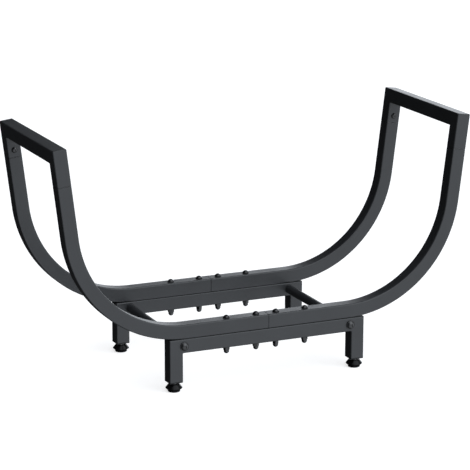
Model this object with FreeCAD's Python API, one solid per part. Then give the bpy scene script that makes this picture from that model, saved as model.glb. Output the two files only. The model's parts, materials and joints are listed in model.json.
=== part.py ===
import FreeCAD, Part
import math
import os

# Firewood log rack in millimetres.  X runs along the rack, Y from front to rear, Z is up.
# The origin is on the floor, under the middle of the rack.
# Two U-shaped frames of square steel tube stand one behind the other on two leg frames.
# A handle joins their arms at each end, and two ties join the leg frames under the logs.

# ---- driving dimensions -------------------------------------------------------------
TUBE = 25.0                 # side of the square tube
WALL = 1.5                  # tube wall
CORNER = 2.5                # outside corner radius of the tube
DEPTH = 273.0               # over the front and rear frames
SEAM = 0.4                  # hairline gap where two tube ends butt

FRAME_BASE = 93.5           # underside of the U frames, which lie on the leg frames
FLAT_HALF = 153.0           # half of the U frame's straight bottom
BEND_RADIUS = 216.0         # outer radius of the bends
ARM_LEAN = 7.0              # degrees that each arm leans outwards
ARM_LENGTH = 92.5           # straight arm above the bend, up to the handle
HANDLE_RISE = 62.5          # from the arm's end to the handle's top

LEG_SPAN = 368.0            # over the two legs of a leg frame
FOOT_HEIGHT = 16.8          # underside of the legs above the floor
PLUG_FLANGE = 2.0           # part of a leg plug that covers the tube's end
TIE_SPAN = 314.0            # between the two cross ties
TIE_DIAMETER = 16.0
FRAME_BOLT_X = (-74.0, -18.7, 18.7, 74.0)

FIT_GAP = 0.2               # play between a tube and what is pushed into it
INSERT_CORNER = 1.2         # outside corner radius of anything pushed into a tube
SLEEVE_CORNER = 0.4         # inside corner radius of the sleeves and connectors
SLEEVE_WALL = 1.5
SLEEVE_LENGTH = 190.0       # sleeve inside the bottom of a U frame
CONNECTOR_WALL = 2.5
CONNECTOR_HALF = 36.0       # reach of a handle connector each way from the seam
HANDLE_SCREW_RISE = 13.0    # handle screw above the seam
OVERRUN = 1.0               # how far a hole's cutter runs past a wall

# ---- sizes that follow --------------------------------------------------------------
HALF = TUBE / 2
FRAME_Y = DEPTH / 2 - HALF              # centre line of the front and rear frames
INNER_Y = DEPTH / 2 - TUBE              # faces of the frames that look at each other
CAVITY = TUBE - 2 * WALL
INSERT = CAVITY - 2 * FIT_GAP           # side of anything pushed into a tube
BEND_ANGLE = 90.0 - ARM_LEAN
LEG_TUBE_BASE = FOOT_HEIGHT + PLUG_FLANGE
LEG_X = LEG_SPAN / 2 - HALF
TIE_X = TIE_SPAN / 2
TIE_Z = FRAME_BASE - HALF

FRONT = -1
REAR = 1
SIDES = {"left": -1, "right": 1}
DEPTHS = {"front": FRONT, "rear": REAR}

X_AXIS = FreeCAD.Vector(1, 0, 0)
Y_AXIS = FreeCAD.Vector(0, 1, 0)
Z_AXIS = FreeCAD.Vector(0, 0, 1)
ORIGIN = FreeCAD.Vector(0, 0, 0)


def vec(x, y, z):
    return FreeCAD.Vector(x, y, z)


# ---- basic forms --------------------------------------------------------------------
def rounded_square(side, radius, centre, u, v):
    """Wire of a square with rounded corners, in the plane of the unit vectors u and v."""
    straight = side / 2 - radius
    edges = []
    for turn in range(4):
        angle = math.radians(90 * turn)
        out = u * math.cos(angle) + v * math.sin(angle)
        along = v * math.cos(angle) - u * math.sin(angle)
        start = centre + out * (side / 2) - along * straight
        end = centre + out * (side / 2) + along * straight
        edges.append(Part.LineSegment(start, end).toShape())
        pivot = centre + (out + along) * straight
        middle = pivot + (out + along).normalize() * radius
        after = centre + along * (side / 2) + out * straight
        edges.append(Part.Arc(end, middle, after).toShape())
    return Part.Wire(edges)


def tube_section(centre, u, v):
    outer = Part.Face(rounded_square(TUBE, CORNER, centre, u, v))
    inner = Part.Face(rounded_square(CAVITY, CORNER - WALL, centre, u, v))
    return outer.cut(inner).Faces[0]


def square_bar(side, radius, start, direction, length, u, v):
    face = Part.Face(rounded_square(side, radius, start, u, v))
    return face.extrude(direction * length)


def slab(points, depth):
    """Prism of an outline given in X and Z, centred on Y = 0."""
    corners = [vec(x, -depth / 2, z) for x, z in points]
    face = Part.Face(Part.makePolygon(corners + corners[:1]))
    return face.extrude(Y_AXIS * depth)


def hexagon(across_flats, z):
    radius = across_flats / math.sqrt(3)
    corners = []
    for index in range(6):
        angle = math.radians(60 * index)
        corners.append(vec(radius * math.cos(angle), radius * math.sin(angle), z))
    return Part.makePolygon(corners + corners[:1])


def hex_prism(across_flats, z, height):
    return Part.Face(hexagon(across_flats, z)).extrude(Z_AXIS * height)


def turned(points):
    """Solid of revolution about Z of an outline given as radius and height."""
    corners = [vec(radius, 0, z) for radius, z in points]
    face = Part.Face(Part.makePolygon(corners + corners[:1]))
    return face.revolve(ORIGIN, Z_AXIS, 360)


def moved(shape, x, y, z):
    copy = shape.copy()
    copy.translate(vec(x, y, z))
    return copy


def mirrored_left(shape):
    return shape.mirror(ORIGIN, X_AXIS)


# ---- square tube work ---------------------------------------------------------------
def mitred_arch(span, height, side, radius, base):
    """Bar on two legs, mitred at the corners, in the XZ plane; its top is at height."""
    end = span / 2
    bar_centre = height - side / 2
    bar = square_bar(side, radius, vec(-end, 0, bar_centre), X_AXIS, span, Y_AXIS, Z_AXIS)
    bar_outline = ((-end, height), (end, height), (end - side, height - side), (side - end, height - side))
    arch = bar.common(slab(bar_outline, 2 * side))
    for sign in SIDES.values():
        start = vec(sign * (end - side / 2), 0, base)
        leg = square_bar(side, radius, start, Z_AXIS, height - base, X_AXIS, Y_AXIS)
        outer_x = sign * end
        inner_x = sign * (end - side)
        leg_outline = ((inner_x, base), (outer_x, base), (outer_x, height), (inner_x, height - side))
        arch = arch.fuse(leg.common(slab(leg_outline, 2 * side)))
    return arch.removeSplitter()


def hollow_arch(span, height):
    """Welded arch of square tube, open at the bottom of its two legs."""
    outside = mitred_arch(span, height, TUBE, CORNER, 0.0)
    inside = mitred_arch(span - 2 * WALL, height - WALL, CAVITY, CORNER - WALL, -OVERRUN)
    return outside.cut(inside)


def half_u_tube(y):
    """Right half of a U frame: half of the flat bottom, the bend and the arm."""
    centre_z = FRAME_BASE + HALF
    start = vec(SEAM / 2, y, centre_z)
    flat = tube_section(start, Y_AXIS, Z_AXIS).extrude(X_AXIS * (FLAT_HALF - SEAM / 2))
    bend_start = vec(FLAT_HALF, y, centre_z)
    pivot = vec(FLAT_HALF, y, FRAME_BASE + BEND_RADIUS)
    bend_face = tube_section(bend_start, Y_AXIS, Z_AXIS)
    bend = bend_face.revolve(pivot, -Y_AXIS, BEND_ANGLE)
    arm_face = tube_section(bend_start, Y_AXIS, Z_AXIS)
    arm_face.rotate(pivot, -Y_AXIS, BEND_ANGLE)
    arm = arm_face.extrude(arm_direction() * (ARM_LENGTH - SEAM / 2))
    tube = flat.fuse([bend, arm]).removeSplitter()
    for x in FRAME_BOLT_X:
        if x > 0:
            tube = tube.cut(frame_bolt_hole(x, y))
    return tube


def arm_direction():
    lean = math.radians(ARM_LEAN)
    return vec(math.sin(lean), 0, math.cos(lean))


def arm_end():
    """Outer edge of the right arm where the handle sits on it."""
    bend = math.radians(BEND_ANGLE)
    x = FLAT_HALF + BEND_RADIUS * math.sin(bend)
    z = FRAME_BASE + BEND_RADIUS * (1 - math.cos(bend))
    return vec(x, 0, z) + arm_direction() * ARM_LENGTH


def onto_arm(shape):
    """Place a form built upright, with its outer face at X = 0, on the end of the right arm."""
    placed = shape.copy()
    placed.rotate(ORIGIN, Y_AXIS, ARM_LEAN)
    placed.translate(arm_end())
    return placed


# ---- fasteners ----------------------------------------------------------------------
# A screw stands upright with the underside of its head at Z = 0.
M6 = {"d": 6.0, "head_d": 10.5, "head_h": 3.3, "key": 4.0, "key_depth": 2.0, "hole": 6.5}
M8 = {"d": 8.0, "head_d": 14.0, "head_h": 4.4, "key": 5.0, "key_depth": 2.6, "hole": 8.5}
M6_WASHER = (12.0, 6.4, 1.6)
M8_WASHER = (16.0, 8.4, 1.6)
FRAME_BOLT_LENGTH = 60.0
TIE_BOLT_LENGTH = 40.0
HANDLE_SCREW_LENGTH = 12.0
THREAD_PLAY = 0.03
HEAD_RIM = 0.6
CAP_NUT_FLATS = 10.0
CAP_NUT_HEX_HEIGHT = 5.5
CAP_NUT_DOME_RADIUS = 4.7
CAP_NUT_HEIGHT = 12.0
CAP_NUT_THREAD_DEPTH = 8.0


def button_screw(size, length):
    """Button-head screw with a hexagon socket."""
    radius = size["head_d"] / 2
    height = size["head_h"]
    foot = vec(radius, 0, 0)
    rim = vec(radius, 0, HEAD_RIM)
    top = vec(0, 0, height)
    rise = height - HEAD_RIM
    dome_radius = (radius ** 2 + rise ** 2) / (2 * rise)
    half_angle = math.asin(radius / dome_radius) / 2
    middle_z = height - dome_radius * (1 - math.cos(half_angle))
    middle = vec(dome_radius * math.sin(half_angle), 0, middle_z)
    edges = [
        Part.LineSegment(ORIGIN, foot).toShape(),
        Part.LineSegment(foot, rim).toShape(),
        Part.Arc(rim, middle, top).toShape(),
        Part.LineSegment(top, ORIGIN).toShape(),
    ]
    head = Part.Face(Part.Wire(edges)).revolve(ORIGIN, Z_AXIS, 360)
    head = head.cut(hex_prism(size["key"], height - size["key_depth"], height))
    shank = Part.makeCylinder(size["d"] / 2, length + HEAD_RIM, vec(0, 0, -length))
    return head.fuse(shank).removeSplitter()


def washer(dims):
    outer_d, inner_d, thickness = dims
    disc = Part.makeCylinder(outer_d / 2, thickness)
    return disc.cut(Part.makeCylinder(inner_d / 2, thickness))


def cap_nut():
    """M6 domed nut, standing with its open face down at Z = 0."""
    dome_centre = CAP_NUT_HEIGHT - CAP_NUT_DOME_RADIUS
    body = hex_prism(CAP_NUT_FLATS, 0, CAP_NUT_HEX_HEIGHT)
    body = body.fuse(Part.makeCylinder(CAP_NUT_DOME_RADIUS, dome_centre))
    body = body.fuse(Part.makeSphere(CAP_NUT_DOME_RADIUS, vec(0, 0, dome_centre)))
    bore = Part.makeCylinder(M6["d"] / 2 + THREAD_PLAY, CAP_NUT_THREAD_DEPTH)
    return body.cut(bore).removeSplitter()


def frame_bolt_hole(x, y):
    """Hole down through a U frame, its sleeve and the leg frame's rail."""
    height = 2 * (TUBE + OVERRUN)
    return Part.makeCylinder(M6["hole"] / 2, height, vec(x, y, FRAME_BASE - height / 2))


def tie_bolt_hole(x, y):
    length = TUBE + 2 * OVERRUN
    return Part.makeCylinder(M8["hole"] / 2, length, vec(x, y - length / 2, TIE_Z), Y_AXIS)


def facing(shape, depth_sign):
    """Lay an upright form so that its Z points to the front or to the rear."""
    laid = shape.copy()
    laid.rotate(ORIGIN, X_AXIS, -90 * depth_sign)
    return laid


# ---- the rack's pieces --------------------------------------------------------------
def leg_frame(y):
    arch = moved(hollow_arch(LEG_SPAN, FRAME_BASE - LEG_TUBE_BASE), 0, y, LEG_TUBE_BASE)
    for x in FRAME_BOLT_X:
        arch = arch.cut(frame_bolt_hole(x, y))
    for sign in SIDES.values():
        arch = arch.cut(tie_bolt_hole(sign * TIE_X, y))
    return arch


def bottom_sleeve(y):
    """Square sleeve that lines up the two halves of a U frame and takes the bolts' clamping."""
    start = vec(-SLEEVE_LENGTH / 2, y, FRAME_BASE + HALF)
    bore_side = INSERT - 2 * SLEEVE_WALL
    sleeve = square_bar(INSERT, INSERT_CORNER, start, X_AXIS, SLEEVE_LENGTH, Y_AXIS, Z_AXIS)
    bore = square_bar(bore_side, SLEEVE_CORNER, start, X_AXIS, SLEEVE_LENGTH, Y_AXIS, Z_AXIS)
    sleeve = sleeve.cut(bore)
    for x in FRAME_BOLT_X:
        sleeve = sleeve.cut(frame_bolt_hole(x, y))
    return sleeve


def right_handle():
    """Top bar on two short posts, which carry on from the front and rear arms."""
    arch = hollow_arch(DEPTH, HANDLE_RISE - SEAM / 2)
    arch.rotate(ORIGIN, Z_AXIS, 90)
    arch.translate(vec(-HALF, 0, SEAM / 2))
    for sign in DEPTHS.values():
        start = vec(-HALF, sign * (INNER_Y - OVERRUN), HANDLE_SCREW_RISE)
        hole = Part.makeCylinder(M6["hole"] / 2, WALL + 2 * OVERRUN, start, Y_AXIS * sign)
        arch = arch.cut(hole)
    return onto_arm(arch)


def right_connector(depth_sign):
    """Square sleeve inside an arm's end and a handle's post, tapped for the handle screw."""
    length = 2 * CONNECTOR_HALF
    bore_side = INSERT - 2 * CONNECTOR_WALL
    start = vec(-HALF, depth_sign * FRAME_Y, -CONNECTOR_HALF)
    sleeve = square_bar(INSERT, INSERT_CORNER, start, Z_AXIS, length, X_AXIS, Y_AXIS)
    sleeve = sleeve.cut(square_bar(bore_side, SLEEVE_CORNER, start, Z_AXIS, length, X_AXIS, Y_AXIS))
    mouth = vec(-HALF, depth_sign * INNER_Y, HANDLE_SCREW_RISE)
    thread_hole = Part.makeCylinder(M6["d"] / 2 + THREAD_PLAY, HALF, mouth, Y_AXIS * depth_sign)
    return onto_arm(sleeve.cut(thread_hole))


def right_handle_screw(depth_sign):
    """Handle screw in a post's inner face, with its head towards the middle of the rack."""
    screw = facing(button_screw(M6, HANDLE_SCREW_LENGTH), -depth_sign)
    return onto_arm(moved(screw, -HALF, depth_sign * INNER_Y, HANDLE_SCREW_RISE))


TIE_INSERT_LENGTH = 16.0
TIE_INSERT_PLAY = 0.02


def cross_tie(x):
    """Round tube between the two leg frames."""
    length = 2 * INNER_Y
    start = vec(x, -INNER_Y, TIE_Z)
    tube = Part.makeCylinder(TIE_DIAMETER / 2, length, start, Y_AXIS)
    return tube.cut(Part.makeCylinder(TIE_DIAMETER / 2 - WALL, length, start, Y_AXIS))


def tie_insert(x, depth_sign):
    """Tapped plug in the end of a cross tie."""
    radius = TIE_DIAMETER / 2 - WALL - TIE_INSERT_PLAY
    start = vec(x, depth_sign * INNER_Y, TIE_Z)
    inward = Y_AXIS * -depth_sign
    plug = Part.makeCylinder(radius, TIE_INSERT_LENGTH, start, inward)
    thread_radius = M8["d"] / 2 + THREAD_PLAY
    return plug.cut(Part.makeCylinder(thread_radius, TIE_INSERT_LENGTH, start, inward))


# ---- levelling feet -----------------------------------------------------------------
STEM_RADIUS = 4.0
STEM_PLAY = 0.05
STEM_TOP = 45.0
STEM_BASE = 8.2
STEM_CHAMFER = 0.8
COLLAR_RADIUS = 5.0
COLLAR_TOP = FOOT_HEIGHT - 0.6          # just clear of the leg plug when screwed right in
KNOB_TOP = 13.6
KNOB_BASE = 3.3
KNOB_WIDEST = 6.1
KNOB_RIM = 0.8
KNOB_RADIUS = 14.5
KNOB_TOP_RADIUS = 9.4
KNOB_BASE_FLATS = 20.4
KNOB_WIDEST_FLATS = 25.0
PAD_RADIUS = 10.6
PAD_HEIGHT = 3.0
PAD_CHAMFER = 1.0
SPIGOT_RADIUS = 3.0
SPIGOT_TOP = 7.4
PLUG_LENGTH = 18.0


def leg_plug(x, y):
    """Plug in a leg's open end, tapped for the foot's stem."""
    flange = square_bar(TUBE, CORNER, vec(x, y, FOOT_HEIGHT), Z_AXIS, PLUG_FLANGE, X_AXIS, Y_AXIS)
    body_start = vec(x, y, LEG_TUBE_BASE)
    body = square_bar(INSERT, INSERT_CORNER, body_start, Z_AXIS, PLUG_LENGTH, X_AXIS, Y_AXIS)
    height = PLUG_LENGTH + PLUG_FLANGE
    bore = Part.makeCylinder(STEM_RADIUS + STEM_PLAY, height, vec(x, y, FOOT_HEIGHT))
    return flange.fuse(body).cut(bore)


def foot_stem():
    stem = Part.makeCylinder(STEM_RADIUS, STEM_TOP - STEM_BASE, vec(0, 0, STEM_BASE))
    top_edge = [edge for edge in stem.Edges if edge.BoundBox.ZMin > STEM_TOP - STEM_CHAMFER]
    shaft = stem.makeChamfer(STEM_CHAMFER, top_edge)
    collar = Part.makeCylinder(COLLAR_RADIUS, COLLAR_TOP - KNOB_TOP, vec(0, 0, KNOB_TOP))
    return shaft.fuse(collar).removeSplitter()


def foot_knob():
    """Moulded knob: a round cone above its rim and a six-sided taper below it."""
    rim_top = KNOB_WIDEST + KNOB_RIM
    cone = turned(((0, KNOB_WIDEST), (KNOB_RADIUS, KNOB_WIDEST), (KNOB_RADIUS, rim_top),
                   (KNOB_TOP_RADIUS, KNOB_TOP), (0, KNOB_TOP)))
    wires = [hexagon(KNOB_BASE_FLATS, KNOB_BASE), hexagon(KNOB_WIDEST_FLATS, KNOB_WIDEST)]
    knob = cone.fuse(Part.makeLoft(wires, True, True))
    stem_bore = Part.makeCylinder(STEM_RADIUS, KNOB_TOP - STEM_BASE, vec(0, 0, STEM_BASE))
    spigot_depth = SPIGOT_TOP + FIT_GAP - KNOB_BASE
    spigot_bore = Part.makeCylinder(SPIGOT_RADIUS + STEM_PLAY, spigot_depth, vec(0, 0, KNOB_BASE))
    return knob.cut(stem_bore).cut(spigot_bore)


def foot_pad():
    """Glide that stays still on the floor, with a spigot that the knob turns on."""
    return turned(((0, 0), (PAD_RADIUS - PAD_CHAMFER, 0), (PAD_RADIUS, PAD_CHAMFER),
                   (PAD_RADIUS, PAD_HEIGHT), (SPIGOT_RADIUS, PAD_HEIGHT),
                   (SPIGOT_RADIUS, SPIGOT_TOP), (0, SPIGOT_TOP)))


# ---- assembly -----------------------------------------------------------------------
def frame_fasteners():
    """Bolts, washers and cap nuts that clamp the U frames to the leg frames."""
    bolts = []
    washers = []
    nuts = []
    top = FRAME_BASE + TUBE
    bottom = FRAME_BASE - TUBE
    thickness = M6_WASHER[2]
    nut = cap_nut()
    nut.rotate(ORIGIN, X_AXIS, 180)
    for sign in DEPTHS.values():
        y = sign * FRAME_Y
        for x in FRAME_BOLT_X:
            bolts.append(moved(button_screw(M6, FRAME_BOLT_LENGTH), x, y, top + thickness))
            washers.append(moved(washer(M6_WASHER), x, y, top))
            washers.append(moved(washer(M6_WASHER), x, y, bottom - thickness))
            nuts.append(moved(nut, x, y, bottom - thickness))
    return {"frame_bolts": bolts, "frame_washers": washers, "frame_cap_nuts": nuts}


def tie_fasteners():
    bolts = []
    washers = []
    inserts = []
    thickness = M8_WASHER[2]
    for depth_sign in DEPTHS.values():
        face = depth_sign * DEPTH / 2
        for side_sign in SIDES.values():
            x = side_sign * TIE_X
            bolt = facing(button_screw(M8, TIE_BOLT_LENGTH), depth_sign)
            bolts.append(moved(bolt, x, face + depth_sign * thickness, TIE_Z))
            washers.append(moved(facing(washer(M8_WASHER), depth_sign), x, face, TIE_Z))
            inserts.append(tie_insert(x, depth_sign))
    return {"tie_bolts": bolts, "tie_washers": washers, "tie_inserts": inserts}


def build():
    """All nodes as lists of separate solids, by node name."""
    nodes = {}
    screws = []
    for depth_name, depth_sign in DEPTHS.items():
        y = depth_sign * FRAME_Y
        right_tube = half_u_tube(y)
        nodes[f"{depth_name}_right_tube"] = [right_tube]
        nodes[f"{depth_name}_left_tube"] = [mirrored_left(right_tube)]
        nodes[f"{depth_name}_tube_sleeve"] = [bottom_sleeve(y)]
        nodes[f"{depth_name}_leg_frame"] = [leg_frame(y)]
        connector = right_connector(depth_sign)
        nodes[f"{depth_name}_right_connector"] = [connector]
        nodes[f"{depth_name}_left_connector"] = [mirrored_left(connector)]
        screw = right_handle_screw(depth_sign)
        screws += [screw, mirrored_left(screw)]
        for side_name, side_sign in SIDES.items():
            x = side_sign * LEG_X
            corner = f"{depth_name}_{side_name}"
            nodes[f"{corner}_leg_plug"] = [leg_plug(x, y)]
            nodes[f"{corner}_foot_stem"] = [moved(foot_stem(), x, y, 0)]
            nodes[f"{corner}_foot_knob"] = [moved(foot_knob(), x, y, 0)]
            nodes[f"{corner}_foot_pad"] = [moved(foot_pad(), x, y, 0)]
    nodes["handle_screws"] = screws
    handle = right_handle()
    nodes["right_handle"] = [handle]
    nodes["left_handle"] = [mirrored_left(handle)]
    for side_name, side_sign in SIDES.items():
        nodes[f"{side_name}_cross_tie"] = [cross_tie(side_sign * TIE_X)]
    nodes.update(frame_fasteners())
    nodes.update(tie_fasteners())
    return nodes


def main():
    os.makedirs("parts", exist_ok=True)
    for name, shapes in build().items():
        solids = [solid for shape in shapes for solid in shape.Solids]
        if len(solids) != len(shapes) or not all(solid.isValid() for solid in solids):
            raise RuntimeError(f"{name} is not {len(shapes)} valid separate solids")
        shape = solids[0] if len(solids) == 1 else Part.makeCompound(solids)
        shape.exportStep(f"parts/{name}.step")


main()
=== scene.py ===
import json
import math

import bmesh
import bpy
from mathutils import Matrix, Vector


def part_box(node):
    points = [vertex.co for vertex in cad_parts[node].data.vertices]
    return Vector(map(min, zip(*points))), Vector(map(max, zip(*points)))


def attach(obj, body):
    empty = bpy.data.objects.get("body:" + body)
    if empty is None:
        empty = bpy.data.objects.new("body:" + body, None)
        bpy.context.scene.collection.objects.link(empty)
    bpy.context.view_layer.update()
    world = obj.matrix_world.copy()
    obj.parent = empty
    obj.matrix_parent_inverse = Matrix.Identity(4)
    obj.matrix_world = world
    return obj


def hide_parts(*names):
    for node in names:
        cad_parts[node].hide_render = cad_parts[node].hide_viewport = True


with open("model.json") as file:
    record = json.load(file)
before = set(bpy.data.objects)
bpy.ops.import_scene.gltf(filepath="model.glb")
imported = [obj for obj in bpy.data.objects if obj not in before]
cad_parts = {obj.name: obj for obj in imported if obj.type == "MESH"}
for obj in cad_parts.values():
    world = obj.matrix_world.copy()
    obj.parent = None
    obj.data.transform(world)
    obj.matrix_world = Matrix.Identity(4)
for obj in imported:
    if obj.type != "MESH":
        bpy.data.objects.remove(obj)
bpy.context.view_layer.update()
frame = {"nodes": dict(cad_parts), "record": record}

# Firewood log rack.  Sizes below are in millimetres, as in the CAD; pieces are made in metres.
MM = 0.001

TUBE = 25.0
WALL = 1.5
CORNER = 2.5
CAVITY = TUBE - 2 * WALL
HALF = TUBE / 2
FLAT_HALF = 153.0
BEND_RADIUS = 216.0
ARM_LEAN = math.radians(7.0)
BEND_ANGLE = math.radians(90.0) - ARM_LEAN
ARM_LENGTH = 92.5
HANDLE_RISE = 62.5
SEAM = 0.4
DEBURR = 0.3                # chamfer on the cut ends of the tubes
FRAME_BOLT_X = (-74.0, -18.7, 18.7, 74.0)
HANDLE_SCREW_RISE = 13.0
FIT_GAP = 0.2
STEM_PITCH = 1.25
M6_HOLE = 3.25              # radius of the clearance holes
M8_HOLE = 4.25
OVERRUN = 1.0               # how far a cutter runs past a wall
ARCH_SOFTENING = (1.0, 1.8) # rounding at the outer and the inner side of a welded corner
BORE_SOFTENING = (0.2, 0.2) # the same inside the tube

SIDES = {"left": -1, "right": 1}
DEPTHS = {"front": -1, "rear": 1}


def box_mm(node):
    low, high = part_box(node)
    return low / MM, high / MM


rail_low, rail_high = box_mm("front_leg_frame")
plug_low, plug_high = box_mm("front_left_leg_plug")
knob_low, knob_high = box_mm("front_left_foot_knob")
pad_low, pad_high = box_mm("front_left_foot_pad")
stem_low, stem_high = box_mm("front_left_foot_stem")
tie_low, tie_high = box_mm("right_cross_tie")

DEPTH = 2 * abs(rail_low.y)
FRAME_Y = DEPTH / 2 - HALF
INNER_Y = DEPTH / 2 - TUBE
FRAME_BASE = rail_high.z
LEG_BASE = rail_low.z
LEG_SPAN = rail_high.x - rail_low.x
LEG_X = abs(plug_low.x + plug_high.x) / 2
FOOT_HEIGHT = plug_low.z
TIE_X = (tie_low.x + tie_high.x) / 2
TIE_Z = (tie_low.z + tie_high.z) / 2
TIE_RADIUS = (tie_high.x - tie_low.x) / 2


# ---- meshes -------------------------------------------------------------------------
def rounded_square(side, radius, steps=6):
    """Points (u, v) round a square with rounded corners; always 4 * (steps + 1) of them."""
    straight = side / 2 - radius
    points = []
    for quarter in range(4):
        start = math.radians(90 * quarter)
        middle = start + math.radians(45)
        pivot_u = math.copysign(straight, math.cos(middle))
        pivot_v = math.copysign(straight, math.sin(middle))
        for step in range(steps + 1):
            angle = start + math.radians(90) * step / steps
            points.append((pivot_u + radius * math.cos(angle), pivot_v + radius * math.sin(angle)))
    return points


def circle_of(points, radius):
    """A circle with one point in the direction of each given point."""
    return [(radius * u / math.hypot(u, v), radius * v / math.hypot(u, v)) for u, v in points]


def round_ring(radius, z, count=64):
    angles = [2 * math.pi * index / count for index in range(count)]
    return [Vector((radius * math.cos(a), radius * math.sin(a), z)) for a in angles]


def skin(rings, closed=True, caps=(None, None)):
    """Bmesh of quads between rings of equally many points; a cap is the centre of a fan."""
    bm = bmesh.new()
    rows = [[bm.verts.new(point) for point in ring] for ring in rings]
    pairs = list(zip(rows, rows[1:]))
    if closed:
        pairs.append((rows[-1], rows[0]))
    for row, after in pairs:
        for index in range(len(row)):
            following = (index + 1) % len(row)
            bm.faces.new((row[index], row[following], after[following], after[index]))
    for row, cap in zip((rows[0], rows[-1]), caps):
        if cap is not None:
            centre = bm.verts.new(cap)
            for index in range(len(row)):
                bm.faces.new((row[index], row[(index + 1) % len(row)], centre))
    bmesh.ops.recalc_face_normals(bm, faces=bm.faces[:])
    return bm


def lathe(profile, count=64):
    """Solid of revolution of (radius, z) points; it starts and ends on the axis, or is a closed loop."""
    on_axis = [point for point in (profile[0], profile[-1]) if point[0] == 0]
    if not on_axis:
        return skin([round_ring(radius, z, count) for radius, z in profile])
    rings = [round_ring(radius, z, count) for radius, z in profile[1:-1]]
    caps = (Vector((0, 0, profile[0][1])), Vector((0, 0, profile[-1][1])))
    return skin(rings, closed=False, caps=caps)


def arc(centre_r, centre_z, radius, start, end, steps):
    """Profile points (radius, z) along an arc, angles in degrees from the outward direction."""
    points = []
    for step in range(steps + 1):
        angle = math.radians(start + (end - start) * step / steps)
        points.append((centre_r + radius * math.cos(angle), centre_z + radius * math.sin(angle)))
    return points


def joined(parts):
    """One bmesh of several (bmesh, matrix) copies."""
    whole = bmesh.new()
    for bm, matrix in parts:
        copy = bm.copy()
        bmesh.ops.transform(copy, matrix=matrix, verts=copy.verts[:])
        if matrix.determinant() < 0:
            bmesh.ops.reverse_faces(copy, faces=copy.faces[:])
        mesh = bpy.data.meshes.new("part")
        copy.to_mesh(mesh)
        whole.from_mesh(mesh)
        copy.free()
        bpy.data.meshes.remove(mesh)
    return whole


def to_object(name, bm):
    mesh = bpy.data.meshes.new(name)
    scaled = bm.copy()
    bmesh.ops.transform(scaled, matrix=Matrix.Scale(MM, 4), verts=scaled.verts[:])
    scaled.to_mesh(mesh)
    scaled.free()
    made = bpy.data.objects.new(name, mesh)
    bpy.context.scene.collection.objects.link(made)
    return made


def cut(target, cutter_bm):
    """Take a cutter's volume out of an object for good."""
    cutter = to_object("cutter", cutter_bm)
    change = target.modifiers.new("cut", "BOOLEAN")
    change.operation = "DIFFERENCE"
    change.solver = "EXACT"
    change.object = cutter
    graph = bpy.context.evaluated_depsgraph_get()
    mesh = bpy.data.meshes.new_from_object(target.evaluated_get(graph))
    target.modifiers.clear()
    before = target.data
    target.data = mesh
    bpy.data.meshes.remove(before)
    tool = cutter.data
    bpy.data.objects.remove(cutter)
    bpy.data.meshes.remove(tool)


def rod(radius, start, end, count=48):
    """Plain rod between two points, used to cut holes."""
    axis = end - start
    turn = Vector((0, 0, 1)).rotation_difference(axis).to_matrix().to_4x4()
    shape = lathe([(0, 0), (radius, 0), (radius, axis.length), (0, axis.length)], count)
    return joined([(shape, Matrix.Translation(start) @ turn)])


def finish_piece(piece, slot_name, body, *nodes, sharp=38):
    """Shading, material, body and replaced CAD nodes of a finished piece."""
    piece.data.shade_smooth()
    piece.data.set_sharp_from_angle(angle=math.radians(sharp))
    weighted = piece.modifiers.new("normals", "WEIGHTED_NORMAL")
    weighted.keep_sharp = True
    weighted.weight = 90
    piece.data.materials.clear()
    piece.data.materials.append(MATERIALS[slot_name])
    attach(piece, body)
    if nodes:
        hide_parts(*nodes)
    return piece


# ---- materials ----------------------------------------------------------------------
def new_material(name):
    material = bpy.data.materials.new(name)
    material.use_nodes = True
    tree = material.node_tree
    shader = tree.nodes["Principled BSDF"]
    place = tree.nodes.new("ShaderNodeTexCoord").outputs["Object"]
    return material, tree, shader, place


def noise(tree, place, scale, detail=2.0, rough=0.5, stretch=None):
    if stretch is not None:
        mapping = tree.nodes.new("ShaderNodeMapping")
        mapping.inputs["Scale"].default_value = stretch
        tree.links.new(place, mapping.inputs["Vector"])
        place = mapping.outputs["Vector"]
    node = tree.nodes.new("ShaderNodeTexNoise")
    node.inputs["Scale"].default_value = scale
    node.inputs["Detail"].default_value = detail
    node.inputs["Roughness"].default_value = rough
    tree.links.new(place, node.inputs["Vector"])
    return node.outputs["Fac"]


def ramp(tree, value, stops):
    node = tree.nodes.new("ShaderNodeValToRGB")
    elements = node.color_ramp.elements
    while len(elements) < len(stops):
        elements.new(0.5)
    for element, (position, colour) in zip(elements, stops):
        element.position = position
        element.color = (*colour, 1.0)
    tree.links.new(value, node.inputs["Fac"])
    return node.outputs["Color"]


def spread(tree, value, low, high, start=0.3, end=0.7):
    node = tree.nodes.new("ShaderNodeMapRange")
    node.inputs["From Min"].default_value = start
    node.inputs["From Max"].default_value = end
    node.inputs["To Min"].default_value = low
    node.inputs["To Max"].default_value = high
    tree.links.new(value, node.inputs["Value"])
    return node.outputs["Result"]


def bump(tree, height, distance, strength=1.0, after=None):
    node = tree.nodes.new("ShaderNodeBump")
    node.inputs["Strength"].default_value = strength
    node.inputs["Distance"].default_value = distance
    tree.links.new(height, node.inputs["Height"])
    if after is not None:
        tree.links.new(after, node.inputs["Normal"])
    return node.outputs["Normal"]


def powder_coat():
    """Satin black powder coat: a fine grain on a soft orange peel, slightly uneven in gloss."""
    material, tree, shader, place = new_material("powder_coat")
    broad = noise(tree, place, 18.0, 3.0)
    peel = noise(tree, place, 420.0, 2.0)
    grain = noise(tree, place, 3600.0, 2.0, 0.6)
    tree.links.new(
        ramp(tree, broad, ((0.3, (0.0160, 0.0172, 0.0187)), (0.7, (0.0205, 0.0219, 0.0238)))),
        shader.inputs["Base Color"],
    )
    tree.links.new(spread(tree, broad, 0.36, 0.44), shader.inputs["Roughness"])
    soft = bump(tree, peel, 0.00006, 0.5)
    tree.links.new(bump(tree, grain, 0.00002, 0.5, soft), shader.inputs["Normal"])
    return material


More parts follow.
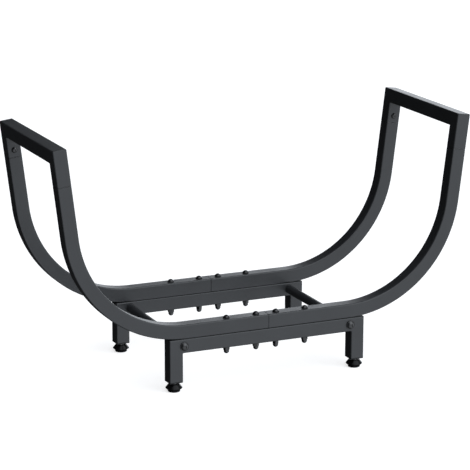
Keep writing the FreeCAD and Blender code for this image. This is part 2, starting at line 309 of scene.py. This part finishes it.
def black_fasteners():
    """Black oxide and oil on screws and nuts, a little glossier than the tubes."""
    material, tree, shader, place = new_material("black_fasteners")
    cloud = noise(tree, place, 160.0, 3.0)
    grain = noise(tree, place, 5200.0, 2.0)
    tree.links.new(
        ramp(tree, cloud, ((0.35, (0.0070, 0.0072, 0.0078)), (0.7, (0.0110, 0.0113, 0.0120)))),
        shader.inputs["Base Color"],
    )
    tree.links.new(spread(tree, cloud, 0.22, 0.30), shader.inputs["Roughness"])
    shader.inputs["Specular IOR Level"].default_value = 0.65
    tree.links.new(bump(tree, grain, 0.000012, 0.5), shader.inputs["Normal"])
    return material


def moulded_plastic(name, dark, light, low, high):
    """Moulded black nylon with the fine grain of a spark-eroded mould."""
    material, tree, shader, place = new_material(name)
    cloud = noise(tree, place, 90.0, 2.0)
    grain = noise(tree, place, 2600.0, 3.0, 0.6)
    tree.links.new(ramp(tree, cloud, ((0.3, dark), (0.75, light))), shader.inputs["Base Color"])
    tree.links.new(spread(tree, cloud, low, high), shader.inputs["Roughness"])
    shader.inputs["Specular IOR Level"].default_value = 0.14
    tree.links.new(bump(tree, grain, 0.00003, 0.6), shader.inputs["Normal"])
    return material


def steel(name, dark, light, low, high, stretch):
    """Bare or zinc-plated steel with faint drawing marks."""
    material, tree, shader, place = new_material(name)
    marks = noise(tree, place, 900.0, 3.0, 0.6, stretch)
    cloud = noise(tree, place, 120.0, 2.0)
    tree.links.new(ramp(tree, marks, ((0.3, dark), (0.7, light))), shader.inputs["Base Color"])
    shader.inputs["Metallic"].default_value = 1.0
    tree.links.new(spread(tree, cloud, low, high), shader.inputs["Roughness"])
    tree.links.new(bump(tree, marks, 0.00001, 0.5), shader.inputs["Normal"])
    return material


MATERIALS = {
    "powder_coat": powder_coat(),
    "black_fasteners": black_fasteners(),
    "foot_plastic": moulded_plastic(
        "foot_plastic", (0.0030, 0.0030, 0.0033), (0.0050, 0.0050, 0.0054), 0.20, 0.28
    ),
    "plug_plastic": moulded_plastic("plug_plastic", (0.016, 0.016, 0.017), (0.022, 0.022, 0.023), 0.45, 0.55),
    "zinc_steel": steel("zinc_steel", (0.50, 0.50, 0.48), (0.72, 0.72, 0.70), 0.22, 0.38, (1, 1, 6)),
    "bare_steel": steel("bare_steel", (0.30, 0.29, 0.28), (0.52, 0.51, 0.50), 0.35, 0.5, (0.2, 1, 1)),
}

for node_name, node_object in frame["nodes"].items():
    part = next(row for row in frame["record"]["subparts"] if row["node"] == node_name)
    node_object.data.materials.clear()
    node_object.data.materials.append(MATERIALS[part["material_slot"]])


# ---- square tube work ---------------------------------------------------------------
def section_ring(section, centre, outward, across):
    return [centre + outward * u + across * v for u, v in section]


def arm_direction(side):
    return Vector((side * math.sin(ARM_LEAN), 0, math.cos(ARM_LEAN)))


def u_stations(side, y):
    """(centre, outward, forward) along half of a U frame, from the seam to the handle."""
    forward = Vector((side, 0, 0))
    down = Vector((0, 0, -1))
    start = Vector((side * SEAM / 2, y, FRAME_BASE + HALF))
    length = FLAT_HALF - SEAM / 2
    stations = [(start + forward * length * step / 8, down, forward) for step in range(9)]
    pivot = Vector((side * FLAT_HALF, y, FRAME_BASE + BEND_RADIUS))
    steps = 56
    for step in range(1, steps + 1):
        angle = BEND_ANGLE * step / steps
        outward = Vector((side * math.sin(angle), 0, -math.cos(angle)))
        ahead = Vector((side * math.cos(angle), 0, math.sin(angle)))
        stations.append((pivot + outward * (BEND_RADIUS - HALF), outward, ahead))
    centre, outward, ahead = stations[-1]
    for step in range(1, 6):
        stations.append((centre + ahead * (ARM_LENGTH - SEAM / 2) * step / 5, outward, ahead))
    return stations


def tube_rings(stations, across):
    """Rings of a square tube with deburred ends, outside first and then back along the inside."""
    full = rounded_square(TUBE, CORNER)
    deburred = rounded_square(TUBE - 2 * DEBURR, CORNER - DEBURR)
    inner = rounded_square(CAVITY, CORNER - WALL)
    first, last = stations[0], stations[-1]
    outside = [section_ring(deburred, first[0], first[1], across)]
    outside.append(section_ring(full, first[0] + first[2] * DEBURR, first[1], across))
    outside += [section_ring(full, centre, outward, across) for centre, outward, ahead in stations[1:-1]]
    outside.append(section_ring(full, last[0] - last[2] * DEBURR, last[1], across))
    outside.append(section_ring(deburred, last[0], last[1], across))
    inside = [section_ring(inner, centre, outward, across) for centre, outward, ahead in stations]
    return outside + inside[::-1]


def frame_bolt_holes(y, xs):
    bottom = FRAME_BASE - TUBE - OVERRUN
    top = FRAME_BASE + TUBE + OVERRUN
    return joined([(rod(M6_HOLE, Vector((x, y, bottom)), Vector((x, y, top))), Matrix()) for x in xs])


def u_half(name, side, y):
    across = Vector((0, 1, 0))
    piece = to_object(name, skin(tube_rings(u_stations(side, y), across)))
    cut(piece, frame_bolt_holes(y, [x for x in FRAME_BOLT_X if x * side > 0]))
    return piece


def mitred_rings(section, half_span, height, base, soften):
    """Rings (p, q, v) of a mitred arch: up one leg, along the bar, down the other leg.
    soften is how far the outer and the inner side of each corner are rounded."""
    outer_round, inner_round = soften
    widest = max(u for u, v in section)

    def along(p_of, q_of):
        return [(p_of(u), q_of(u), v) for u, v in section]

    def corner(sign, t):
        ring = []
        for u, v in section:
            share = (u / widest + 1) / 2
            reach = inner_round + (outer_round - inner_round) * share
            bar = t if sign < 0 else 1 - t
            p = sign * (half_span + u) - sign * reach * bar ** 2
            q = height + u - reach * (1 - bar) ** 2
            ring.append((p, q, v))
        return ring

    turns = (0, 0.25, 0.5, 0.75, 1)
    rings = [along(lambda u: -half_span - u, lambda u: base)]
    rings += [corner(-1, t) for t in turns]
    rings += [along(lambda u, p=p: p, lambda u: height + u) for p in (-half_span / 3, half_span / 3)]
    rings += [corner(1, t) for t in turns]
    rings.append(along(lambda u: half_span + u, lambda u: base))
    return rings


def arch_rings(span, height, base):
    """Closed loop of rings of a welded arch of square tube, open at its two feet."""
    half_span = span / 2 - HALF
    centre = height - HALF
    full = rounded_square(TUBE, CORNER)
    deburred = rounded_square(TUBE - 2 * DEBURR, CORNER - DEBURR)
    inner = rounded_square(CAVITY, CORNER - WALL)
    outside = mitred_rings(full, half_span, centre, base + DEBURR, ARCH_SOFTENING)
    first = [(-half_span - u, base, v) for u, v in deburred]
    last = [(half_span + u, base, v) for u, v in deburred]
    inside = mitred_rings(inner, half_span, centre, base, BORE_SOFTENING)
    return [first] + outside + [last] + inside[::-1]


def leg_frame(name, y):
    arch = arch_rings(LEG_SPAN, FRAME_BASE, LEG_BASE)
    rings = [[Vector((p, y + v, q)) for p, q, v in ring] for ring in arch]
    piece = to_object(name, skin(rings))
    holes = [(frame_bolt_holes(y, FRAME_BOLT_X), Matrix())]
    for side in SIDES.values():
        start = Vector((side * TIE_X, y - HALF - OVERRUN, TIE_Z))
        end = start + Vector((0, TUBE + 2 * OVERRUN, 0))
        holes.append((rod(M8_HOLE, start, end), Matrix()))
    cut(piece, joined(holes))
    return piece


def on_arm(side):
    """Where a form built upright, with its outer face at X = 0, goes on an arm's end."""
    bend_x = FLAT_HALF + BEND_RADIUS * math.sin(BEND_ANGLE)
    bend_z = FRAME_BASE + BEND_RADIUS * (1 - math.cos(BEND_ANGLE))
    end = Vector((bend_x, 0, bend_z)) + arm_direction(1) * ARM_LENGTH
    placed = Matrix.Translation(end) @ Matrix.Rotation(ARM_LEAN, 4, "Y")
    mirror = Matrix.Scale(-1, 4, Vector((1, 0, 0)))
    return placed if side > 0 else mirror @ placed


def handle(name, side):
    arch = arch_rings(DEPTH, HANDLE_RISE, SEAM / 2)
    rings = [[Vector((v - HALF, p, q)) for p, q, v in ring] for ring in arch]
    piece = to_object(name, joined([(skin(rings), on_arm(side))]))
    holes = []
    for depth in DEPTHS.values():
        start = Vector((-HALF, depth * (INNER_Y - OVERRUN), HANDLE_SCREW_RISE))
        end = start + Vector((0, depth * (WALL + 2 * OVERRUN), 0))
        holes.append((rod(M6_HOLE, start, end), on_arm(side)))
    cut(piece, joined(holes))
    return piece


for depth_name, depth in DEPTHS.items():
    y = depth * FRAME_Y
    for side_name, side in SIDES.items():
        node = f"{depth_name}_{side_name}_tube"
        finish_piece(u_half(f"{depth_name}_{side_name}_u_tube", side, y), "powder_coat", "rack", node)
    node = f"{depth_name}_leg_frame"
    finish_piece(leg_frame(f"{depth_name}_legs", y), "powder_coat", "rack", node)
for side_name, side in SIDES.items():
    finish_piece(handle(f"{side_name}_end_handle", side), "powder_coat", "rack", f"{side_name}_handle")


# ---- fasteners ----------------------------------------------------------------------
M6 = {"r": 3.0, "head_r": 5.25, "head_h": 3.3, "key": 4.0, "key_depth": 2.0}
M8 = {"r": 4.0, "head_r": 7.0, "head_h": 4.4, "key": 5.0, "key_depth": 2.6}
HEAD_RIM = 0.6
M6_WASHER = (6.0, 3.2, 1.6)
M8_WASHER = (8.0, 4.2, 1.6)
FRAME_BOLT_LENGTH = 60.0
TIE_BOLT_LENGTH = 40.0
HANDLE_SCREW_LENGTH = 12.0
TIP_CHAMFER = 0.8
THREAD_PLAY = 0.03           # radial, between a screw and its nut


def hex_key(across_flats, bottom, top):
    """Cutter for a hexagon socket: six sides and a drilled cone at the bottom."""
    radius = across_flats / math.sqrt(3)
    floor = round_ring(radius, bottom, 6)
    mouth = round_ring(radius, top, 6)
    tip = Vector((0, 0, bottom - radius * 0.45))
    return skin([floor, mouth], closed=False, caps=(tip, Vector((0, 0, top))))


def button_screw(size, length):
    """Button-head screw standing on the underside of its head, with a rounded rim."""
    radius = size["head_r"]
    rise = size["head_h"] - HEAD_RIM
    dome = (radius ** 2 + rise ** 2) / (2 * rise)
    half_angle = math.degrees(math.asin(radius / dome))
    profile = [(0, size["head_h"])]
    profile += arc(0, size["head_h"] - dome, dome, 90 - half_angle / 14, 90 - half_angle, 13)
    profile += [(radius, HEAD_RIM - 0.15), (radius, 0.15), (radius - 0.15, 0), (size["r"], 0)]
    profile += [(size["r"], TIP_CHAMFER - length), (size["r"] - TIP_CHAMFER, -length), (0, -length)]
    screw = to_object("screw", lathe(profile))
    cut(screw, hex_key(size["key"], size["head_h"] - size["key_depth"], size["head_h"] + 1))
    shape = bmesh.new()
    shape.from_mesh(screw.data)
    bmesh.ops.transform(shape, matrix=Matrix.Scale(1 / MM, 4), verts=shape.verts[:])
    mesh = screw.data
    bpy.data.objects.remove(screw)
    bpy.data.meshes.remove(mesh)
    return shape


def washer(size):
    outer, inner, thickness = size
    edge = 0.25
    loop = [(inner, 0), (outer - edge, 0), (outer, edge), (outer, thickness - edge)]
    loop += [(outer - edge, thickness), (inner + edge / 2, thickness), (inner, thickness - edge / 2)]
    return lathe(loop)


def hexagon_radius(angle, across_flats):
    """Distance from the axis to a hexagon with its corners at 0, 60, ... degrees."""
    sixth = math.radians(60)
    return across_flats / 2 / math.cos(angle % sixth - sixth / 2)


def cap_nut():
    """M6 domed nut standing on its open face, its hexagon chamfered at both ends."""
    count = 72
    flats = 10.0
    hex_height = 5.5
    chamfer = 0.45
    end_radius = 4.9
    dome_radius = 4.7
    dome_centre = 7.3
    top = dome_centre + dome_radius
    angles = [2 * math.pi * index / count for index in range(count)]
    rings = []

    def hex_row(z, limit):
        row = []
        for angle in angles:
            radius = min(hexagon_radius(angle, flats), limit)
            row.append(Vector((radius * math.cos(angle), radius * math.sin(angle), z)))
        rings.append(row)

    bore_top = 8.0
    bore = M6["r"] + THREAD_PLAY
    corner = 5.78
    taken = corner - end_radius
    rings.append(round_ring(bore, bore_top, count))
    rings.append(round_ring(bore, 0, count))
    for step in range(5):
        hex_row(chamfer * step / 4, end_radius + taken * step / 4)
    for step in range(5):
        hex_row(hex_height - chamfer + chamfer * step / 4, corner - taken * step / 4)
    rings.append(round_ring(dome_radius, hex_height, count))
    for radius, z in arc(0, dome_centre, dome_radius, 0, 84, 14):
        rings.append(round_ring(radius, z, count))
    return skin(rings, closed=False, caps=(Vector((0, 0, bore_top)), Vector((0, 0, top))))


def facing(depth):
    """Turns an upright form so that its Z points to the front or to the rear."""
    return Matrix.Rotation(math.radians(-90 * depth), 4, "X")


def at(x, y, z):
    return Matrix.Translation(Vector((x, y, z)))


frame_bolt = button_screw(M6, FRAME_BOLT_LENGTH)
tie_bolt = button_screw(M8, TIE_BOLT_LENGTH)
handle_screw = button_screw(M6, HANDLE_SCREW_LENGTH)
m6_washer = washer(M6_WASHER)
m8_washer = washer(M8_WASHER)
nut = cap_nut()
turned_over = Matrix.Rotation(math.radians(180), 4, "X")

bolt_copies, washer_copies, nut_copies, tie_copies, tie_washer_copies, screw_copies = [], [], [], [], [], []
for depth in DEPTHS.values():
    y = depth * FRAME_Y
    top = FRAME_BASE + TUBE
    bottom = FRAME_BASE - TUBE
    thick = M6_WASHER[2]
    for index, x in enumerate(FRAME_BOLT_X):
        twist = Matrix.Rotation(math.radians(17 + 23 * index + 9 * depth), 4, "Z")
        bolt_copies.append((frame_bolt, at(x, y, top + thick) @ twist))
        washer_copies.append((m6_washer, at(x, y, top)))
        washer_copies.append((m6_washer, at(x, y, bottom - thick)))
        nut_copies.append((nut, at(x, y, bottom - thick) @ turned_over @ twist))
    for side in SIDES.values():
        face = depth * DEPTH / 2
        out = depth * M8_WASHER[2]
        twist = Matrix.Rotation(math.radians(12 + 30 * side), 4, "Z")
        tie_copies.append((tie_bolt, at(side * TIE_X, face + out, TIE_Z) @ facing(depth) @ twist))
        tie_washer_copies.append((m8_washer, at(side * TIE_X, face, TIE_Z) @ facing(depth)))
        spot = at(-HALF, depth * INNER_Y, HANDLE_SCREW_RISE) @ facing(-depth)
        screw_copies.append((handle_screw, on_arm(side) @ spot))

for name, copies in (
    ("frame_bolts", bolt_copies),
    ("frame_washers", washer_copies),
    ("frame_cap_nuts", nut_copies),
    ("tie_bolts", tie_copies),
    ("tie_washers", tie_washer_copies),
    ("handle_screws", screw_copies),
):
    finish_piece(to_object(f"{name}_detailed", joined(copies)), "black_fasteners", "rack", name, sharp=28)


def cross_tie(name, side):
    """Round tube between the leg frames, with its ends deburred."""
    inner = TIE_RADIUS - WALL
    end = tie_high.y
    loop = [(inner, -end), (TIE_RADIUS - DEBURR, -end), (TIE_RADIUS, DEBURR - end)]
    loop += [(TIE_RADIUS, end - DEBURR), (TIE_RADIUS - DEBURR, end), (inner, end)]
    shape = joined([(lathe(loop), at(side * TIE_X, 0, TIE_Z) @ facing(1))])
    return to_object(name, shape)


for side_name, side in SIDES.items():
    finish_piece(cross_tie(f"{side_name}_tie_tube", side), "powder_coat", "rack", f"{side_name}_cross_tie")


# ---- levelling feet -----------------------------------------------------------------
KNOB_BASE = knob_low.z
KNOB_TOP = knob_high.z
KNOB_RADIUS = (knob_high.x - knob_low.x) / 2
KNOB_WIDEST = 6.1
KNOB_RIM = 0.8
KNOB_TOP_RADIUS = 9.4
KNOB_FLATS = (20.4, 25.0)    # across the flats at the taper's base and top
STEM_RADIUS = 4.0
COLLAR_RADIUS = 5.0
COLLAR_TOP = FOOT_HEIGHT - 0.6
SPIGOT_RADIUS = 3.0
SPIGOT_PLAY = 0.05
PAD_HEIGHT = 3.0
PLUG_HEIGHT = 20.0           # flange and body of a leg plug
INSERT_CORNER = 1.2
STEM_PLAY = 0.05
STEM_CHAMFER = 0.8


def knob():
    """Moulded knob: round cone above a thin rim, six-sided taper with soft edges below it."""
    count = 96
    angles = [2 * math.pi * index / count for index in range(count)]
    rings = [round_ring(SPIGOT_RADIUS + SPIGOT_PLAY, pad_high.z + FIT_GAP, count)]
    rings.append(round_ring(SPIGOT_RADIUS + SPIGOT_PLAY, KNOB_BASE, count))

    def taper_row(z, shrink):
        share = (z - KNOB_BASE) / (KNOB_WIDEST - KNOB_BASE)
        across = KNOB_FLATS[0] + (KNOB_FLATS[1] - KNOB_FLATS[0]) * share - shrink
        limit = across / math.sqrt(3) - 0.45
        row = []
        for angle in angles:
            flat = hexagon_radius(angle, across)
            blend = max(0.35 - abs(flat - limit), 0) / 0.35
            radius = min(flat, limit) - blend * blend * 0.0875
            row.append(Vector((radius * math.cos(angle), radius * math.sin(angle), z)))
        rings.append(row)

    taper_row(KNOB_BASE, 1.0)
    taper_row(KNOB_BASE + 0.15, 0.4)
    taper_row(KNOB_BASE + 0.5, 0.0)
    for step in range(1, 5):
        taper_row(KNOB_BASE + 0.5 + (KNOB_WIDEST - KNOB_BASE - 0.7) * step / 4, 0.0)
    taper_row(KNOB_WIDEST, -0.05)
    rim = KNOB_WIDEST + KNOB_RIM
    for radius, z in (
        (KNOB_RADIUS - 0.2, KNOB_WIDEST),
        (KNOB_RADIUS - 0.05, KNOB_WIDEST + 0.06),
        (KNOB_RADIUS, KNOB_WIDEST + 0.2),
        (KNOB_RADIUS, rim - 0.15),
        (KNOB_RADIUS - 0.12, rim + 0.08),
        (KNOB_TOP_RADIUS + 0.35, KNOB_TOP - 0.55),
        (KNOB_TOP_RADIUS + 0.05, KNOB_TOP - 0.15),
        (KNOB_TOP_RADIUS - 0.3, KNOB_TOP),
        (STEM_RADIUS + 0.3, KNOB_TOP),
        (STEM_RADIUS, KNOB_TOP - 0.3),
        (STEM_RADIUS, stem_low.z),
    ):
        rings.append(round_ring(radius, z, count))
    caps = (Vector((0, 0, pad_high.z + FIT_GAP)), Vector((0, 0, stem_low.z)))
    return skin(rings, closed=False, caps=caps)


def pad():
    """Glide with a rounded lip and the spigot that the knob turns on."""
    outer = (pad_high.x - pad_low.x) / 2
    top = PAD_HEIGHT
    profile = [(0, 0), (outer - 1.0, 0)]
    profile += arc(outer - 1.0, 1.0, 1.0, -75, 0, 5)
    profile += arc(outer - 0.4, top - 0.4, 0.4, 0, 90, 4)
    profile += [(SPIGOT_RADIUS + 0.3, top), (SPIGOT_RADIUS, top + 0.3), (SPIGOT_RADIUS, pad_high.z - 0.4)]
    profile += [(SPIGOT_RADIUS - 0.4, pad_high.z), (0, pad_high.z)]
    return lathe(profile, 72)


def stem():
    """Threaded stem: plain inside the knob, a collar above it, then one continuous M8 thread."""
    count = 36
    pitch = STEM_PITCH
    root = STEM_RADIUS - 0.61 * pitch
    shape = ((0.0, STEM_RADIUS), (0.125, STEM_RADIUS), (0.4375, root), (0.6875, root))
    low = COLLAR_TOP - 0.4
    high = stem_high.z
    turns = int((high - low) / pitch) + 2
    bm = bmesh.new()
    rows = []
    for turn in range(-1, turns):
        for share, radius in shape:
            row = []
            for index in range(count):
                angle = 2 * math.pi * index / count
                z = low + pitch * (turn + share + index / count)
                reach = radius
                if z > high - STEM_CHAMFER:
                    reach = min(reach, STEM_RADIUS - (min(z, high) - high + STEM_CHAMFER))
                if z < low:
                    reach = root
                z = min(max(z, low), high)
                row.append(bm.verts.new((reach * math.cos(angle), reach * math.sin(angle), z)))
            rows.append(row)
    per_turn = len(shape)
    for number in range(len(rows) - 1):
        for index in range(count - 1):
            a, b = rows[number], rows[number + 1]
            bm.faces.new((a[index], a[index + 1], b[index + 1], b[index]))
        if number + per_turn + 1 < len(rows):
            a, b = rows[number][-1], rows[number + per_turn][0]
            c, d = rows[number + per_turn + 1][0], rows[number + 1][-1]
            bm.faces.new((a, b, c, d))
    bmesh.ops.remove_doubles(bm, verts=bm.verts[:], dist=0.002)
    bmesh.ops.dissolve_degenerate(bm, edges=bm.edges[:], dist=0.002)
    edges = [edge for edge in bm.edges if edge.is_boundary]
    bmesh.ops.holes_fill(bm, edges=edges, sides=0)
    bmesh.ops.recalc_face_normals(bm, faces=bm.faces[:])
    plain = STEM_RADIUS - 0.02
    shank = lathe([
        (0, stem_low.z), (plain, stem_low.z), (plain, KNOB_TOP), (COLLAR_RADIUS - 0.3, KNOB_TOP),
        (COLLAR_RADIUS, KNOB_TOP + 0.3), (COLLAR_RADIUS, COLLAR_TOP - 0.4), (COLLAR_RADIUS - 0.4, COLLAR_TOP),
        (root, COLLAR_TOP), (0, COLLAR_TOP),
    ], count)
    return joined([(bm, Matrix()), (shank, Matrix())])


def leg_plug(x, y):
    """Plug in the leg's open end: a flange with moulded edges and a body with a threaded bore."""
    body = CAVITY - 2 * FIT_GAP
    top = FOOT_HEIGHT + PLUG_HEIGHT
    full = rounded_square(TUBE, CORNER)
    bore = circle_of(full, STEM_RADIUS + STEM_PLAY)
    mouth = circle_of(full, STEM_RADIUS + 0.5)
    rows = (
        (bore, FOOT_HEIGHT + 0.45),
        (mouth, FOOT_HEIGHT),
        (rounded_square(TUBE - 1.4, CORNER - 0.7), FOOT_HEIGHT),
        (rounded_square(TUBE - 0.4, CORNER - 0.2), FOOT_HEIGHT + 0.2),
        (full, FOOT_HEIGHT + 0.7),
        (full, LEG_BASE - 0.15),
        (rounded_square(TUBE - 0.3, CORNER - 0.15), LEG_BASE),
        (rounded_square(body, INSERT_CORNER), LEG_BASE),
        (rounded_square(body, INSERT_CORNER), top - 0.6),
        (rounded_square(body - 1.0, INSERT_CORNER - 0.4), top),
        (bore, top),
    )
    return skin([[Vector((x + u, y + v, z)) for u, v in section] for section, z in rows])


the_knob, the_pad, the_stem = knob(), pad(), stem()
for depth_name, depth in DEPTHS.items():
    for side_name, side in SIDES.items():
        corner_name = f"{depth_name}_{side_name}"
        x, y = side * LEG_X, depth * FRAME_Y
        body = f"{corner_name}_foot"
        turning = f"{corner_name}_foot_screw"
        here = at(x, y, 0)
        for what, shape, slot_name, rides, node in (
            ("levelling_knob", joined([(the_knob, here)]), "foot_plastic", turning, "foot_knob"),
            ("floor_glide", joined([(the_pad, here)]), "foot_plastic", body, "foot_pad"),
            ("threaded_stem", joined([(the_stem, here)]), "zinc_steel", turning, "foot_stem"),
            ("leg_end_plug", leg_plug(x, y), "plug_plastic", "rack", "leg_plug"),
        ):
            piece = to_object(f"{corner_name}_{what}", shape)
            finish_piece(piece, slot_name, rides, f"{corner_name}_{node}", sharp=32)

# ---- stage, light and camera --------------------------------------------------------
scene = bpy.context.scene
scene.view_settings.view_transform = "Standard"
FLOOR_REACH = 30.0          # metres
DOME_RADIUS = 28000.0


def floor():
    bm = bmesh.new()
    signs = ((-1, -1), (1, -1), (1, 1), (-1, 1))
    bm.faces.new([bm.verts.new((x * FLOOR_REACH, y * FLOOR_REACH, 0)) for x, y in signs])
    mesh = bpy.data.meshes.new("floor")
    bm.to_mesh(mesh)
    ground = bpy.data.objects.new("floor", mesh)
    scene.collection.objects.link(ground)
    material, _, shader, _ = new_material("floor")
    shader.inputs["Base Color"].default_value = (0.55, 0.55, 0.55, 1)
    shader.inputs["Roughness"].default_value = 0.9
    shader.inputs["Specular IOR Level"].default_value = 0.0
    shader.inputs["Emission Color"].default_value = (1.0, 1.0, 1.0, 1)
    shader.inputs["Emission Strength"].default_value = 0.72
    mesh.materials.append(material)
    ground.visible_glossy = False
    ground.visible_diffuse = False


def backdrop():
    """White dome far round the floor, seen by the camera only, so that low views have no horizon."""
    rings = []
    for step in range(12):
        angle = math.radians(7.5 * step)
        rings.append(round_ring(DOME_RADIUS * math.cos(angle), DOME_RADIUS * math.sin(angle), 48))
    dome = to_object("backdrop", skin(rings, closed=False, caps=(None, Vector((0, 0, DOME_RADIUS)))))
    dome.data.shade_smooth()
    material, _, shader, _ = new_material("backdrop")
    shader.inputs["Base Color"].default_value = (0, 0, 0, 1)
    shader.inputs["Specular IOR Level"].default_value = 0.0
    shader.inputs["Emission Color"].default_value = (1.0, 1.0, 1.0, 1)
    shader.inputs["Emission Strength"].default_value = 1.0
    dome.data.materials.append(material)
    dome.visible_glossy = False
    dome.visible_diffuse = False
    dome.visible_transmission = False
    dome.visible_volume_scatter = False
    dome.visible_shadow = False


floor()
backdrop()

WORLD_LOBES = (
    # axis, where it starts and is full (cosine), strength
    ((0.36, -0.90, -0.28), 0.15, 0.85, 1.22),
    ((0.20, -0.50, 0.84), 0.72, 0.94, 2.0),
    ((0.66, 0.72, 0.22), 0.90, 0.99, 2.6),
    ((0.95, -0.10, 0.25), 0.4, 0.9, 0.4),
)
AMBIENT = 0.035


def studio():
    world = bpy.data.worlds.new("studio")
    scene.world = world
    world.use_nodes = True
    tree = world.node_tree
    background = tree.nodes["Background"]
    direction = tree.nodes.new("ShaderNodeTexCoord").outputs["Generated"]
    total = None
    for axis, start, full, strength in WORLD_LOBES:
        dot = tree.nodes.new("ShaderNodeVectorMath")
        dot.operation = "DOT_PRODUCT"
        dot.inputs[1].default_value = Vector(axis).normalized()
        tree.links.new(direction, dot.inputs[0])
        lobe = tree.nodes.new("ShaderNodeMapRange")
        lobe.interpolation_type = "SMOOTHSTEP"
        lobe.inputs["From Min"].default_value = start
        lobe.inputs["From Max"].default_value = full
        lobe.inputs["To Max"].default_value = strength
        tree.links.new(dot.outputs["Value"], lobe.inputs["Value"])
        add = tree.nodes.new("ShaderNodeMath")
        add.operation = "ADD"
        tree.links.new(lobe.outputs["Result"], add.inputs[0])
        if total is None:
            add.inputs[1].default_value = AMBIENT
        else:
            tree.links.new(total, add.inputs[1])
        total = add.outputs["Value"]
    background.inputs["Color"].default_value = (0.945, 0.99, 1.05, 1)
    tree.links.new(total, background.inputs["Strength"])


studio()


LENS = 170.9
CAMERA_PLACE = (-1.5507, -3.4601, 1.2055)
CAMERA_ANGLES = (24.102, 14.472, 0.106)   # azimuth, fall and roll in degrees


def camera():
    data = bpy.data.cameras.new("camera")
    data.sensor_width = 36.0
    data.lens = LENS
    data.clip_end = 200.0
    made = bpy.data.objects.new("camera", data)
    scene.collection.objects.link(made)
    azimuth, elevation, roll = map(math.radians, CAMERA_ANGLES)
    forward = Vector((
        math.sin(azimuth) * math.cos(elevation),
        math.cos(azimuth) * math.cos(elevation),
        -math.sin(elevation),
    ))
    level = Vector((math.cos(azimuth), -math.sin(azimuth), 0))
    above = level.cross(forward)
    right = level * math.cos(roll) + above * math.sin(roll)
    up = above * math.cos(roll) - level * math.sin(roll)
    turn = Matrix((right, up, -forward)).transposed().to_4x4()
    made.matrix_world = Matrix.Translation(Vector(CAMERA_PLACE)) @ turn
    scene.camera = made


camera()
